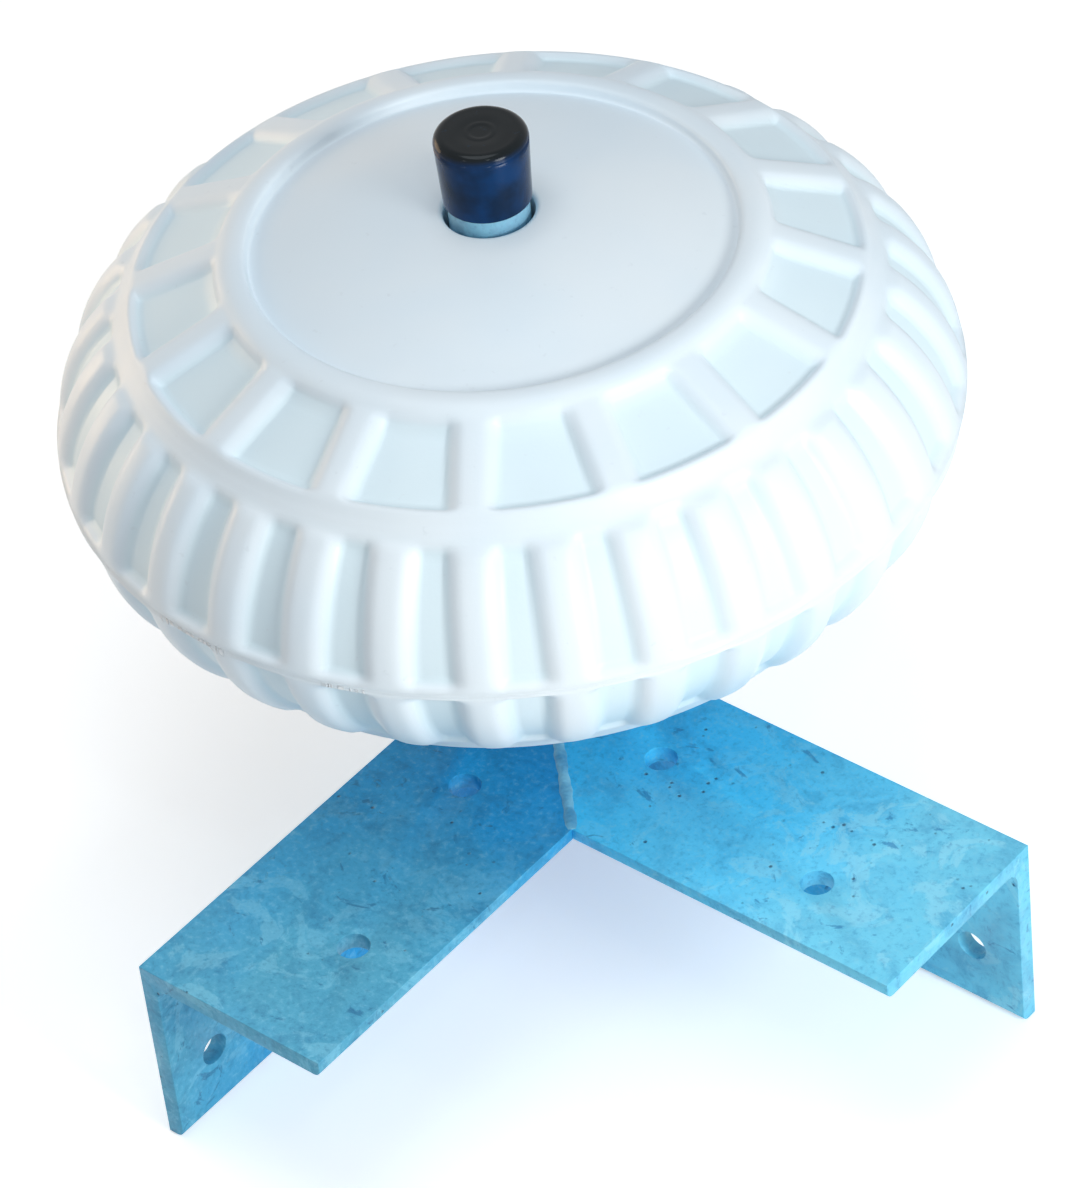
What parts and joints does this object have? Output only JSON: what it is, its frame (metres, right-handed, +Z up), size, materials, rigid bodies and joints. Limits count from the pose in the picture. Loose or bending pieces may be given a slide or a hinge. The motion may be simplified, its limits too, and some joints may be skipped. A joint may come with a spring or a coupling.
{
  "type": "dock wheel",
  "caption": "Corner dock wheel: a ribbed white wheel on an upright axle, on a galvanised angle bracket that bolts over a dock's corner to fend off and guide boats.",
  "frame": {"origin": "middle of the part's footprint, at the height of the bracket's lower edges", "axes": "+Z up along the axle, +X along the right-hand leg, -Y along the left-hand leg"},
  "size_m": [0.363, 0.3629, 0.2707],
  "materials": {
    "galvanised_steel": "dull zinc coat, mottled",
    "weld_metal": "zinc-coated weld bead",
    "white_plastic": "smooth satin moulding",
    "black_vinyl": "glossy dipped vinyl"
  },
  "bodies": {
    "bracket": {"right_angle": "galvanised_steel", "left_angle": "galvanised_steel", "axle_tube": "galvanised_steel", "spacer_sleeve": "galvanised_steel", "washer": "galvanised_steel", "right_axle_weld": "weld_metal", "left_axle_weld": "weld_metal", "mitre_weld": "weld_metal", "axle_cap": "black_vinyl"},
    "roller": {"wheel": "white_plastic"}
  },
  "joints": [
    {"name": "wheel_spin", "type": "hinge", "parent": "bracket", "child": "roller", "pos_m": [-0.03045, 0.03045, 0.1642], "axis": [0, 0, 1], "continuous": true}
  ]
}
